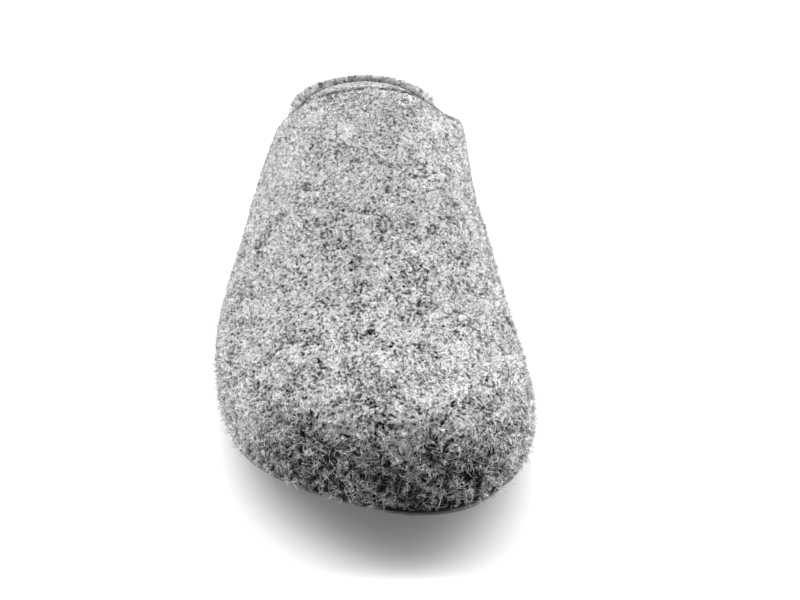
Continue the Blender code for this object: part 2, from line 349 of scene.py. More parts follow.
RIDGE_FIRST, RIDGE_LAST, RIDGE_EASE = 0.12, 0.925, 0.05
FULLNESS_ACROSS, FULLNESS_UP = 2.3, 2.1
FAN_POWER, FAN_FIRST, FAN_LAST = 1.9, 0.25, 0.9
THROAT_LEAN = 0.08
BACK_COLUMNS, VAMP_COLUMNS, WALL_ROWS = 72, 64, 40

# Soft unevenness of the felt's outer face, and a step that keeps differently seeded noises apart
BROAD_LUMP, BROAD_LUMP_SIZE, SMALL_LUMP, SMALL_LUMP_SIZE = 0.3, 26.0, 0.15, 9.0
NOISE_STEP = 7.31


def soft_cap(value, limit, ease):
    """The value itself, bent over to stay at the limit, with an eased turn."""
    turn = limit - (limit + ease - value) ** 2 / (4 * ease)
    return np.where(value < limit - ease, value, np.where(value > limit + ease, limit, turn))


def ridge_point(station):
    """Station, offset and height of the ridge that the wall at a station leans to."""
    aim = soft_cap(-soft_cap(-station, -RIDGE_FIRST, RIDGE_EASE), RIDGE_LAST, RIDGE_EASE)
    offset = natural_spline(RIDGE["share"], RIDGE["offset"], aim)
    height = natural_spline(RIDGE["share"], RIDGE["height"], aim)
    return aim, offset, height


def felt_point(station, rise, side):
    """Point on the upper's outer face; rise runs from 0 at the sole to 1 at the ridge."""
    aim, ridge_x, ridge_z = ridge_point(station)
    foot_x, foot_z = outline_x(station, side), feather_height(station)
    across = 1 - np.cos(rise * np.pi / 2) ** (2 / FULLNESS_ACROSS)
    up = np.sin(rise * np.pi / 2) ** (2 / FULLNESS_UP)
    way_x, way_y = ridge_x - foot_x, LENGTH * (station - aim)
    swell = section_value(SIDE_NAME[side] + "_swell", station)
    swell = swell * np.sin(np.pi * np.clip(rise / SWELL_TOP, 0, 1)) ** 2
    inwards = across - swell / np.hypot(way_x, way_y)
    x = foot_x + way_x * inwards
    y = LENGTH * (0.5 - station) + way_y * inwards
    z = foot_z + (ridge_z - foot_z) * up
    return np.stack([x, y, z], axis=-1)


def topline_rise(station, side):
    """Rise at which the wall ends: at the collar, a little lower at the heel for the nap, or at the ridge."""
    foot = feather_height(station)
    height = natural_spline(TOPLINE["share"], TOPLINE[SIDE_NAME[side]], station)
    height = height - HEEL_TRIM * smooth_step(station, TRIM_LAST, TRIM_FIRST)
    up = (height - foot) / (ridge_point(station)[2] - foot)
    collar = 2 / np.pi * np.arcsin(np.clip(up, 0, 1) ** (FULLNESS_UP / 2))
    return np.where(station < THROAT, collar, 1.0)


def wall_columns():
    """Foot and top stations of the upper's columns, which lean back to meet the throat squarely."""
    throat_foot = THROAT + THROAT_LEAN
    turn = np.arccos(1 - 2 * throat_foot)
    angles = np.append(np.linspace(0, turn, BACK_COLUMNS, endpoint=False),
                       np.linspace(turn, np.pi, VAMP_COLUMNS + 1))
    feet = (1 - np.cos(angles)) / 2
    way = np.clip(np.arange(len(feet)) / BACK_COLUMNS, 0, 1)
    collar = THROAT * (1 - (1 - way) ** FAN_POWER)
    collar = feet + (collar - feet) * smooth_step(way, FAN_FIRST, FAN_LAST)
    ridge = feet - THROAT_LEAN * (1 - feet) / (1 - throat_foot)
    return feet, np.where(way < 1, collar, ridge)


def noise_at(points, size, seed):
    """Smooth noise of about -1 to 1 at points, with lumps of one size."""
    return np.array([noise.noise(Vector(point)) for point in points / size + seed * NOISE_STEP])


def edge_loops(skin):
    """Open edges of a skin as closed rows of vertex numbers, the one that reaches highest last."""
    following = {}
    for edge in skin.edges:
        if edge.is_boundary:
            corner = edge.link_loops[0]
            following[corner.vert.index] = corner.link_loop_next.vert.index
    rims = []
    while following:
        rim = [next(iter(following))]
        while rim[-1] in following:
            rim.append(following.pop(rim[-1]))
        rims.append(rim[:-1])
    skin.verts.ensure_lookup_table()
    return sorted(rims, key=lambda rim: max(skin.verts[i].co.z for i in rim))


def outer_face():
    """Points, normals, faces and open edges of the upper's outer face."""
    feet, tops = wall_columns()
    way = np.linspace(0, 1, WALL_ROWS + 1)
    stations = feet[:, None] + (tops - feet)[:, None] * way
    skin = bmesh.new()
    for side in (LATERAL, MEDIAL):
        rises = topline_rise(tops, side)[:, None] * way
        grid = [[skin.verts.new(point) for point in column] for column in felt_point(stations, rises, side)]
        for column, following in zip(grid, grid[1:]):
            for i in range(WALL_ROWS):
                skin.faces.new((column[i], column[i + 1], following[i + 1], following[i])[::-side])
    points, normals, faces = welded(skin)
    rims = edge_loops(skin)
    skin.free()
    return points, normals, faces, rims


# Share of nap that each face of the wall carries
NAP_OUTSIDE, NAP_INSIDE, NAP_DEEP_INSIDE, NAP_UNDERNEATH = 1.0, 0.6, 0.03, 0.0
DEEP_INSIDE_Y = -8.0

# Painted light and shade round the cut edge: how far the wool is painted lighter at the heel rim, and painted
# darker as shade at the throat and in the crease over the footbed; and how far from the edge each ends and is
# full
HEEL_PAINTED_LIGHT, CREASE_PAINTED_SHADE, THROAT_PAINTED_SHADE = 0.3, -0.6, -0.6
HEEL_FIRST_Y, HEEL_LAST_Y, THROAT_FIRST_Y, THROAT_LAST_Y = 75.0, 105.0, 60.0, 22.0
SHADE_OUTSIDE, SHADE_INSIDE, CREASE = (1.6, 0.4), (6.0, 3.5), (3.0, 4.6)
HEEL_SHARE_OUTSIDE = 0.5
HEEL_MOTTLE, MOTTLE_SIZE, MOTTLE_DARKEST, MOTTLE_LIGHTEST = 1.3, 3.0, -0.4, 0.05

# Painted shade at the toe: how far nap and shell are painted darker there, under the hairs that stand over
# them:
# most at its low front, less on its crown and towards its sides
TOE_FIRST_Y, TOE_LAST_Y, NAP_PAINTED_SHADE_AT_TOE, SHELL_PAINTED_SHADE_AT_TOE = -95.0, -130.0, -0.5, -0.5
FRONT_FIRST_Z, FRONT_LAST_Z, CROWN_SHARE = 43.0, 30.0, 0.1
FRONT_LATERAL_X, FRONT_MEDIAL_X = (-55.0, -12.0), (60.0, 26.0)

# How strongly light and dark wool part along the slipper; its rise towards the toe deepens the toe's dark
# clusters as painted shade
HEATHER_DEPTH = table("y depth", [
    (-138.0, 1.7),
    (-122.0, 1.5),
    (-100.0, 1.15),
    (-60.0, 1.05),
    (0.0, 0.75),
    (138.0, 0.8),
])


def round_edge(outer, inner, normals, rim):
    """Rows of points that round the wall's cut edge, from its outer to its inner face."""
    along = np.roll(outer[rim], -1, axis=0) - np.roll(outer[rim], 1, axis=0)
    outwards = np.cross(along, normals[rim])
    outwards /= np.linalg.norm(outwards, axis=1)[:, None]
    middle, half = (outer[rim] + inner[rim]) / 2, (outer[rim] - inner[rim]) / 2
    rows = []
    for step in range(1, EDGE_STEPS):
        turn = np.pi * step / EDGE_STEPS
        bulge = np.sin(turn) * EDGE_FULLNESS * FELT_WALL / 2
        rows.append(middle + half * np.cos(turn) + outwards * bulge)
    return rows


def edge_mottle_and_painted_light(centres, edge_points, outer_faces):
    """Painted light and shade of each face's wool near the cut edge, with the heel's mottle; outer faces come
    first.
    """
    edge = kdtree.KDTree(len(edge_points))
    for i, point in enumerate(edge_points):
        edge.insert(point, i)
    edge.balance()
    away = np.array([edge.find(centre)[2] for centre in centres])
    near = smooth_step(away, *SHADE_INSIDE)
    near[:outer_faces] = smooth_step(away[:outer_faces], *SHADE_OUTSIDE)
    heel = HEEL_PAINTED_LIGHT + (CREASE_PAINTED_SHADE - HEEL_PAINTED_LIGHT) * smooth_step(away, *CREASE)
    mottle = noise_at(centres, MOTTLE_SIZE, seed=4)
    heel += HEEL_MOTTLE * np.clip(mottle, MOTTLE_DARKEST, MOTTLE_LIGHTEST)
    heel[:outer_faces] *= near[:outer_faces] * HEEL_SHARE_OUTSIDE
    heel *= smooth_step(centres[:, 1], HEEL_FIRST_Y, HEEL_LAST_Y)
    throat = near * THROAT_PAINTED_SHADE * smooth_step(centres[:, 1], THROAT_FIRST_Y, THROAT_LAST_Y)
    return heel + throat


def felt_shell():
    """Points and faces of the upper's wall, and by face its nap and its wool's mottle and painted light and
    shade.
    """
    solid, normals, faces, (foot_rim, collar_rim) = outer_face()
    lumps = BROAD_LUMP * noise_at(solid, BROAD_LUMP_SIZE, seed=1)
    lumps += SMALL_LUMP * noise_at(solid, SMALL_LUMP_SIZE, seed=2)
    outer = solid + normals * (lumps - NAP_DEPTH)[:, None]
    inner = solid - normals * (FELT_WALL - NAP_DEPTH / 2)
    above_foot = inner[:, 2] - feather_height(0.5 - inner[:, 1] / LENGTH)
    inner[:, 2] -= above_foot * RIM_SLOPE * smooth_step(inner[:, 1], RIM_FIRST_Y, RIM_LAST_Y)
    count, outer_faces = len(outer), len(faces)
    deep = [inner[face, 1].mean() < DEEP_INSIDE_Y for face in faces]
    nap = [NAP_OUTSIDE] * outer_faces + [NAP_DEEP_INSIDE if inside else NAP_INSIDE for inside in deep]
    faces = faces + [[i + count for i in face[::-1]] for face in faces]
    for i, following in zip(foot_rim, np.roll(foot_rim, -1)):
        faces.append([following, i, i + count, following + count])
        nap.append(NAP_UNDERNEATH)
    collar = np.array(collar_rim)
    edge_rows = round_edge(outer, inner, normals, collar)
    points = np.concatenate([outer, inner, *edge_rows])
    numbers = np.arange(2 * count, len(points)).reshape(len(edge_rows), -1)
    rows = [collar, *numbers, collar + count]
    for row, following in zip(rows, rows[1:]):
        for i in range(len(collar)):
            faces.append([row[i], row[i - 1], following[i - 1], following[i]])
            nap.append(NAP_OUTSIDE)
    centres = np.array([points[face].mean(0) for face in faces])
    return points, faces, np.array(nap), edge_mottle_and_painted_light(centres, outer[collar], outer_faces)


def add_attribute(mesh, name, domain, values, kind="FLOAT", field="value"):
    """A named attribute of a mesh, with its values for each face or point."""
    mesh.attributes.new(name, kind, domain).data.foreach_set(field, values)


# Heather wool felt: dyed and undyed wool fulled together, so light grey is flecked with charcoal.
# The shell shows between the fibres of the nap and is darker than they are
FLECK = 0.5 * MM
CLUSTER = 1.0 * MM
CLOUD, CLOUD_SHARE = 8 * MM, 0.25

# Range of the mix from its darkest to its lightest place, and how far it shifts the wool's tone there
MIX_DARK, MIX_LIGHT, SHIFT_DARK, SHIFT_LIGHT = 0.32, 0.52, -1.2, 0.13


def heather(tree, place):
    """Node for how light the mix of wools is at a place: small clusters in wider clouds, 0.5 on average."""
    clusters = add_node(tree, "TexNoise", {"Vector": place, "Scale": 1 / CLUSTER, "Detail": 2.0})
    clouds = add_node(tree, "TexNoise", {"Vector": place, "Scale": 1 / CLOUD, "Detail": 2.0})
    return add_node(tree, "Mix", {"Factor": CLOUD_SHARE, "A": (clusters, "Fac"), "B": (clouds, "Fac")},
                    data_type="FLOAT")


def heather_shift(tree, place):
    """Node for how far the mix of wools at a place shifts its tone, by the depth that the mesh carries."""
    depth = add_node(tree, "Attribute", {}, attribute_name="wool_depth")
    shift = add_node(tree, "MapRange", {"Value": (heather(tree, place), "Result"), "From Min": MIX_DARK,
                                        "From Max": MIX_LIGHT, "To Min": SHIFT_DARK, "To Max": SHIFT_LIGHT})
    return add_node(tree, "Math", {0: (shift, "Result"), 1: (depth, "Fac")}, operation="MULTIPLY")


wool_felt, tree, shader = new_material("heather_wool_felt")
place = add_node(tree, "TexCoord", {})
fleck = add_node(tree, "TexNoise", {"Vector": (place, "Object"), "Scale": 1 / FLECK, "Detail": 2.0,
                                    "Distortion": 1.5})
# Mottle and painted light and shade of the wool by face, added to the felt's tone
shade = add_node(tree, "Attribute", {}, attribute_name="felt_shade")
tone = add_node(tree, "MapRange", {"Value": (fleck, "Fac"), "From Min": 0.35, "From Max": 0.55,
                                   "To Min": 0.3})
tone = add_node(tree, "Math", {0: (tone, "Result"), 1: (shade, "Fac")}, operation="ADD")
tone = add_node(tree, "Math", {0: (tone, "Value"), 1: (heather_shift(tree, (place, "Object")), "Value")},
                operation="ADD", use_clamp=True)
colour = add_node(tree, "Mix", {"Factor": (tone, "Value"), "A": linear_colour("#101010"),
                                "B": linear_colour("#c0c0c0")}, data_type="RGBA")
relief = add_node(tree, "Bump", {"Height": (fleck, "Fac"), "Strength": 0.9, "Distance": 0.6 * MM})
tree.links.new(colour.outputs["Result"], shader.inputs["Base Color"])
tree.links.new(relief.outputs["Normal"], shader.inputs["Normal"])
shader.inputs["Roughness"].default_value = 0.95
shader.inputs["IOR"].default_value = 1.45
shader.inputs["Specular IOR Level"].default_value = 0.05
shader.inputs["Metallic"].default_value = 0.0

shell_points, shell_faces, shell_nap, shell_mottle_and_painted_light = felt_shell()
shell_x, shell_y, shell_z = np.array([shell_points[face].mean(0) for face in shell_faces]).T
shell_depth = np.interp(shell_y, HEATHER_DEPTH["y"], HEATHER_DEPTH["depth"])
shell_toe = smooth_step(shell_y, TOE_FIRST_Y, TOE_LAST_Y)
shell_low = smooth_step(shell_z, FRONT_FIRST_Z, FRONT_LAST_Z)
# Weight of the painted shade on the toe's front, which also sets where its hairs get painted highlights
painted_light_at_toe_front = shell_toe * (CROWN_SHARE + (1 - CROWN_SHARE) * shell_low)
painted_light_at_toe_front *= smooth_step(shell_x, *FRONT_LATERAL_X) * smooth_step(shell_x, *FRONT_MEDIAL_X)
shell_mottle_and_painted_light += NAP_PAINTED_SHADE_AT_TOE * painted_light_at_toe_front
upper = new_piece("felt_upper", shell_points, shell_faces, wool_felt, "upper_felt")
add_attribute(upper.data, "felt_shade", "FACE", shell_mottle_and_painted_light + SHELL_PAINTED_SHADE_AT_TOE * painted_light_at_toe_front)
add_attribute(upper.data, "wool_depth", "FACE", shell_depth)
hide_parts("upper")

# Footbed. A shaped bed covered in smoother grey felt, laid on the outsole inside the upper. It is
# dished under the heel and thinner towards the toe; only its heel end shows past the throat.
FOOTBED_AT_HEEL, FOOTBED_AT_TOE = 8.5, 4.5
FOOTBED_DISH_HEEL, FOOTBED_DISH_TOE = 1.6, 0.5
FOOTBED_TAPER_FIRST, FOOTBED_TAPER_LAST = 0.2, 0.8
FOOTBED_GAP = 0.5
FOOTBED_STATIONS = 150
FOOTBED_ROUND, FOOTBED_ROUND_STEPS = 2.2, 8
FOOTBED_ROWS = 14


def footbed_skin():
    """Closed rings across the footbed: flat underside, upright edge, round and dished top."""
    stations = even_stations(FOOTBED_STATIONS)
    taper = smooth_step(stations, FOOTBED_TAPER_FIRST, FOOTBED_TAPER_LAST)
    thick = FOOTBED_AT_HEEL + (FOOTBED_AT_TOE - FOOTBED_AT_HEEL) * taper
    dish = FOOTBED_DISH_HEEL + (FOOTBED_DISH_TOE - FOOTBED_DISH_HEEL) * taper
    edge = [(thick * 0, 0.0)]
    for turn in np.linspace(0, np.pi / 2, FOOTBED_ROUND_STEPS):
        edge.append((thick - FOOTBED_ROUND * (1 - np.sin(turn)), FOOTBED_ROUND * (1 - np.cos(turn))))
    halves = {}
    for side in (LATERAL, MEDIAL):
        halves[side] = []
        for rise, inset in edge:
            x, y = plan_line(stations, side, FELT_WALL + FOOTBED_GAP + inset)
            halves[side].append(np.stack([x, y, feather_height(0.5 - y / LENGTH) + rise], axis=-1))
    middle = (halves[LATERAL][-1] + halves[MEDIAL][-1]) / 2
    width = np.abs(halves[MEDIAL][-1][:, 0] - halves[LATERAL][-1][:, 0])
    for side in (LATERAL, MEDIAL):
        rim = halves[side][-1]
        for share in np.linspace(0, 1, FOOTBED_ROWS)[1:]:
            point = rim + (middle - rim) * share
            point[:, 2] -= dish * width / width.max() * (1 - (1 - share) ** 2)
            halves[side].append(point)
    return lofted(np.stack(halves[LATERAL] + halves[MEDIAL][::-1][1:], axis=1))


# Pressed felt: the same wool rolled smoother, so its flecks are fainter and its face is matt and even
PRESSED_FLECK = 0.8 * MM
pressed_felt, tree, shader = new_material("pressed_wool_felt")
place = add_node(tree, "TexCoord", {})
fleck = add_node(tree, "TexNoise", {"Vector": (place, "Object"), "Scale": 1 / PRESSED_FLECK, "Detail": 3.0,
                                    "Roughness": 0.6, "Distortion": 0.8})
mixed = add_node(tree, "Mix", {"Factor": 0.5, "A": (fleck, "Fac"),
                               "B": (heather(tree, (place, "Object")), "Result")}, data_type="FLOAT")
tone = add_node(tree, "MapRange", {"Value": (mixed, "Result"), "From Min": 0.38, "From Max": 0.6})
colour = add_node(tree, "Mix", {"Factor": (tone, "Result"), "A": linear_colour("#3c3c3c"),
                                "B": linear_colour("#aaaaaa")}, data_type="RGBA")
relief = add_node(tree, "Bump", {"Height": (mixed, "Result"), "Strength": 0.5, "Distance": 0.3 * MM})
tree.links.new(colour.outputs["Result"], shader.inputs["Base Color"])
tree.links.new(relief.outputs["Normal"], shader.inputs["Normal"])
shader.inputs["Roughness"].default_value = 0.95
shader.inputs["IOR"].default_value = 1.45
shader.inputs["Specular IOR Level"].default_value = 0.05
shader.inputs["Metallic"].default_value = 0.0

footbed_points, footbed_faces = footbed_skin()
footbed = new_piece("felt_footbed", footbed_points, footbed_faces, pressed_felt, "footbed_felt")
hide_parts("insole")

# Nap. Curled wool fibres matted over the felt's face, light and dark ones, with loose ends that
# blur the outline. They are rooted in the upper and the footbed and are part of their felt.
UV_NAME = "OFBake"

# Soft lumps that the nap lies on, and the lift that keeps dark fibres in sight
LUMP_SIZE, LUMP_HEIGHT, LUMP_STEP = 1.7, 0.3, 0.2
DARK_TONE, DARK_LIFT = 0.1, 0.2 * MM

# A fibre starts a little under the felt's face, arches over it and ends in a raised tip
ROOT_SINK, TIP_POWER = 0.1 * MM, 1.5

# Normals nearer to upright than this have their axes worked out from X and not from Z
UPRIGHT = 0.9

# Where a fibre's middle line, sides and ends lie in its own cell of the UV map
CELL_MIDDLE, CELL_LEFT, CELL_RIGHT, CELL_FIRST, CELL_LAST = 0.5, 0.3, 0.7, 0.1, 0.9


def roots_on(piece, count, cover, random):
    """Random roots on a mesh, spread by area and by each face's cover: places, normals and face numbers."""
    mesh = piece.data
    mesh.calc_loop_triangles()
    corners = np.empty(len(mesh.loop_triangles) * 3, dtype=np.int32)
    mesh.loop_triangles.foreach_get("vertices", corners)
    owners = np.empty(len(mesh.loop_triangles), dtype=np.int32)
    mesh.loop_triangles.foreach_get("polygon_index", owners)
    points, normals = np.empty(len(mesh.vertices) * 3), np.empty(len(mesh.vertices) * 3)
    mesh.vertices.foreach_get("co", points)
    mesh.vertices.foreach_get("normal", normals)
    corners, points, normals = corners.reshape(-1, 3), points.reshape(-1, 3), normals.reshape(-1, 3)
    first, second, third = (points[corners[:, i]] for i in range(3))
    chance = np.linalg.norm(np.cross(second - first, third - first), axis=1) * cover[owners]
    chosen = random.choice(len(corners), count, p=chance / chance.sum())
    picked = corners[chosen]
    weights = random.dirichlet((1, 1, 1), count)[:, :, None]
    normal = (normals[picked] * weights).sum(1)
    return (points[picked] * weights).sum(1), normal / np.linalg.norm(normal, axis=1)[:, None], owners[chosen]


def on_lumps(roots, normals):
    """Roots raised and normals tilted by the nap's soft lumps."""
    places = roots / MM
    height = noise_at(places, LUMP_SIZE, seed=3)
    rise = [noise_at(places + step, LUMP_SIZE, seed=3) - height for step in np.eye(3) * LUMP_STEP]
    slope = np.stack(rise, axis=1) * LUMP_HEIGHT / LUMP_STEP
    tilted = normals - slope + normals * (slope * normals).sum(1)[:, None]
    tilted /= np.linalg.norm(tilted, axis=1)[:, None]
    return roots + normals * (height * LUMP_HEIGHT * MM)[:, None], tilted


def felt_axes(normals):
    """Two directions in the felt's face for each normal, square to it and to each other."""
    flat = np.where(np.abs(normals[:, 2:]) < UPRIGHT, [0.0, 0.0, 1.0], [1.0, 0.0, 0.0])
    across = np.cross(flat, normals)
    across /= np.linalg.norm(across, axis=1)[:, None]
    return across, np.cross(normals, across)


def curled_lines(heading, length):
    """Each fibre's points along the two axes, from their headings and its length, about its middle."""
    between = (heading[:, 1:] + heading[:, :-1]) / 2
    step = (length / between.shape[1])[:, None]
    x = np.cumsum(np.insert(np.cos(between) * step, 0, 0, axis=1), axis=1)
    y = np.cumsum(np.insert(np.sin(between) * step, 0, 0, axis=1), axis=1)
    return x - x.mean(1)[:, None], y - y.mean(1)[:, None]


def fibre_pattern(steps):
    """Triangles of one fibre with pointed ends, and where its corners lie in a cell of the UV map."""
    triangles, spots = [(0, 1, 2)], [(CELL_MIDDLE, CELL_FIRST)]
    for i in range(1, steps - 1):
        along = CELL_FIRST + (CELL_LAST - CELL_FIRST) * i / (steps - 1)
        spots += [(CELL_LEFT, along), (CELL_RIGHT, along)]
        left = 2 * i - 1
        if i < steps - 2:
            triangles += [(left, left + 2, left + 3), (left, left + 3, left + 1)]
        else:
            triangles.append((left, left + 2, left + 1))
    spots.append((CELL_MIDDLE, CELL_LAST))
    return np.array(triangles), np.array(spots)


def fibre_piece(name, roots, normals, steps, length, width, lift, tip, curl, roll, tone, depth, own,
                random):
    """Joined mesh of flat fibres with pointed ends, curled in the felt's face.

    A fibre's own share tells how far it keeps the mix of wools at its root along its length.
    """
    count, share = len(roots), np.linspace(-0.5, 0.5, steps)
    lift = lift + DARK_LIFT * (tone < DARK_TONE)
    raised, tilted = on_lumps(roots, normals)
    across, ahead = (axis[:, None] for axis in felt_axes(tilted))
    heading = random.uniform(0, 2 * np.pi, count)[:, None] + curl[:, None] * share
    x, y = curled_lines(heading, length)
    in_face = across * x[..., None] + ahead * y[..., None]
    height = lift[:, None] * (1 - (2 * share) ** 2) + tip[:, None] * (share + 0.5) ** TIP_POWER - ROOT_SINK
    line = raised[:, None] + in_face + tilted[:, None] * height[..., None]
    roll = (random.uniform(-1, 1, count) * roll)[:, None, None]
    sideways = ahead * np.cos(heading)[..., None] - across * np.sin(heading)[..., None]
    sideways = (sideways * np.cos(roll) + tilted[:, None] * np.sin(roll)) * (width / 2)[:, None, None]
    order = [0, *np.repeat(np.arange(1, steps - 1), 2), steps - 1]
    sides = np.array([0, *[-1, 1] * (steps - 2), 0])[:, None]
    points = line[:, order] + sideways[:, order] * sides
    felt_place = (roots[:, None] + (1 - own) * in_face)[:, order]
    triangles, spots = fibre_pattern(steps)
    faces = (np.arange(count)[:, None, None] * len(order) + triangles).reshape(-1, 3)
    cells = int(np.ceil(np.sqrt(count)))
    cell = np.stack([np.arange(count) % cells, np.arange(count) // cells], axis=1)
    spots = ((cell[:, None] + spots) / cells).reshape(-1, 2)
    mesh = bpy.data.meshes.new(name)
    mesh.vertices.add(count * len(order))
    mesh.vertices.foreach_set("co", points.ravel())
    mesh.loops.add(faces.size)
    mesh.loops.foreach_set("vertex_index", faces.ravel().astype(np.int32))
    mesh.polygons.add(len(faces))
    mesh.polygons.foreach_set("loop_start", np.arange(0, faces.size, 3, dtype=np.int32))
    mesh.update(calc_edges=True)
    add_attribute(mesh, "wool_tone", "POINT", np.repeat(tone, len(order)))
    add_attribute(mesh, "wool_depth", "POINT", np.repeat(depth, len(order)))
    add_attribute(mesh, "felt_place", "POINT", felt_place.ravel(), kind="FLOAT_VECTOR", field="vector")
    mesh.uv_layers.new(name=UV_NAME).data.foreach_set("uv", spots[faces.ravel()].ravel())
    mesh.shade_smooth()
    riding_piece(name, mesh, wool_fibre)


# Wool fibres: matt, from undyed white to charcoal, which gives the eye its pepper and salt. A single
# fibre of 0.03 mm is too fine to show from 45 cm, so each of these is drawn coarser, as a small tuft
wool_fibre, tree, shader = new_material("wool_fibre")
own_tone = add_node(tree, "Attribute", {}, attribute_name="wool_tone")
place = add_node(tree, "Attribute", {}, attribute_name="felt_place")
tone = add_node(tree, "Math", {0: (own_tone, "Fac"), 1: (heather_shift(tree, (place, "Vector")), "Value")},
                operation="ADD", use_clamp=True)
colour = add_node(tree, "Mix", {"Factor": (tone, "Value"), "A": linear_colour("#141414"),
                                "B": linear_colour("#f2f2f2")}, data_type="RGBA")
tree.links.new(colour.outputs["Result"], shader.inputs["Base Color"])
shader.inputs["Roughness"].default_value = 0.9
shader.inputs["IOR"].default_value = 1.55
shader.inputs["Specular IOR Level"].default_value = 0.05
shader.inputs["Metallic"].default_value = 0.0

# Tones of dyed and undyed wool, from 0 for charcoal to 1 for white
DARK_DEEPEST, DARK_PALEST, LIGHT_MEAN, LIGHT_SPREAD = 0.0, 0.06, 0.78, 0.1


def wool_tones(count, dark_share, random):
    """Tone of each fibre: mostly light, and a share of dark ones."""
    dark = random.uniform(0, 1, count) < dark_share
    return np.where(dark, random.uniform(DARK_DEEPEST, DARK_PALEST, count),
                    random.normal(LIGHT_MEAN, LIGHT_SPREAD, count))


# At the toe more hairs stand over the darker ground; light nap and hairs there are lifted as painted
# highlights, and dark gaps part them as painted shade
NAP_PAINTED_LIGHT_AT_TOE, HAIRS_PAINTED_LIGHT_AT_TOE, MORE_HAIRS_AT_TOE = 0.16, 1.5, 0.8
GAP_PAINTED_SHADE, GAP_SIZE, GAP_FIRST, GAP_FULL = 1.9, 2.4, -0.1, 0.08

# Round the toe's foot more loose ends hang over the outsole, by height above it and along the slipper
FRINGE_FIRST, FRINGE_LAST, FRINGE_FIRST_Y, FRINGE_LAST_Y = 13.0, 4.0, -30.0, -80.0
MORE_LOOSE_AT_FRINGE = 0.8
shell_fringe = smooth_step(shell_z - feather_height(0.5 - shell_y / LENGTH), FRINGE_FIRST, FRINGE_LAST)
shell_fringe *= smooth_step(shell_y, FRINGE_FIRST_Y, FRINGE_LAST_Y)

# How far fibres are rolled on edge, and how far their ends stand off, more in front and at the heel
NAP_ROLL, MORE_ROLL_AT_TOE = 0.4, 0.5
LOOSE, LOOSER_IN_FRONT, LOOSER_AT_HEEL = 0.6, 0.6, 0.5
LOOSE_FRONT_Y, LOOSE_HEEL_Y = (20.0, -90.0), (70.0, 110.0)
shell_roll = NAP_ROLL + MORE_ROLL_AT_TOE * shell_toe
shell_loose = LOOSE + LOOSER_IN_FRONT * smooth_step(shell_y, *LOOSE_FRONT_Y)
shell_loose += LOOSER_AT_HEEL * smooth_step(shell_y, *LOOSE_HEEL_Y)


def grown_tones(tone, roots, rooted, lift):
    """Tones of fibres where they grow: their root face's mottle and painted light and shade, light ones
    lifted as painted light, and painted shade in the toe's gaps.
    """
    painted_gap_shade = painted_light_at_toe_front[rooted] * smooth_step(noise_at(roots / MM, GAP_SIZE, seed=5), GAP_FIRST, GAP_FULL)
    return tone + shell_mottle_and_painted_light[rooted] + np.where(tone > DARK_TONE, lift[rooted], 0) - GAP_PAINTED_SHADE * painted_gap_shade


# Ground: short fibres, matted flat
GROUND_PIECES, GROUND_FIBRES, DARK_SHARE = 2, 49000, 0.38
for number in range(1, GROUND_PIECES + 1):
    random = np.random.default_rng(20 + number)
    roots, normals, rooted = roots_on(upper, GROUND_FIBRES, shell_nap, random)
    fibre_piece(f"felt_nap_{number}", roots, normals, steps=4,
                length=random.uniform(1.0, 3.0, GROUND_FIBRES) * MM,
                width=random.uniform(0.07, 0.14, GROUND_FIBRES) * MM,
                lift=random.uniform(0.05, 0.45, GROUND_FIBRES) * MM,
                tip=random.uniform(-0.1, 0.5, GROUND_FIBRES) * MM,
                curl=random.normal(0, 1.8, GROUND_FIBRES),
                roll=shell_roll[rooted],
                tone=grown_tones(wool_tones(GROUND_FIBRES, DARK_SHARE, random), roots, rooted,
                                 NAP_PAINTED_LIGHT_AT_TOE * shell_toe),
                depth=shell_depth[rooted], own=0.6, random=random)

# Hairs: longer and finer, with ends that come free
HAIR_PIECES, HAIRS, DARK_HAIRS = 2, 42000, 0.3
for number in range(1, HAIR_PIECES + 1):
    random = np.random.default_rng(40 + number)
    roots, normals, rooted = roots_on(upper, HAIRS, shell_nap * (1 + MORE_HAIRS_AT_TOE * shell_toe), random)
    tone = wool_tones(HAIRS, DARK_HAIRS, random)
    fibre_piece(f"felt_hairs_{number}", roots, normals, steps=4,
                length=random.uniform(1.3, 4.0, HAIRS) * MM,
                width=random.uniform(0.06, 0.1, HAIRS) * MM,
                lift=random.uniform(0.2, 0.6, HAIRS) * MM,
                tip=random.exponential(0.7, HAIRS).clip(0, 2.4) * MM * shell_loose[rooted],
                curl=random.normal(0, 1.6, HAIRS),
                roll=shell_roll[rooted],
                tone=grown_tones(tone, roots, rooted, NAP_PAINTED_LIGHT_AT_TOE * shell_toe + HAIRS_PAINTED_LIGHT_AT_TOE * painted_light_at_toe_front),
                depth=shell_depth[rooted], own=1.0, random=random)

# Fuzz: the shortest fibres, with raised ends
FUZZ_FIBRES = 40000
random = np.random.default_rng(31)
roots, normals, rooted = roots_on(upper, FUZZ_FIBRES, shell_nap, random)
fibre_piece("felt_fuzz", roots, normals, steps=3,
            length=random.uniform(0.6, 1.8, FUZZ_FIBRES) * MM,
            width=random.uniform(0.07, 0.13, FUZZ_FIBRES) * MM,
            lift=random.uniform(0.2, 0.6, FUZZ_FIBRES) * MM,
            tip=random.uniform(0.0, 1.5, FUZZ_FIBRES) * MM,
            curl=random.normal(0, 1.0, FUZZ_FIBRES),
            roll=shell_roll[rooted],
            tone=grown_tones(wool_tones(FUZZ_FIBRES, DARK_SHARE, random), roots, rooted,
                             NAP_PAINTED_LIGHT_AT_TOE * shell_toe),
            depth=shell_depth[rooted], own=1.0, random=random)

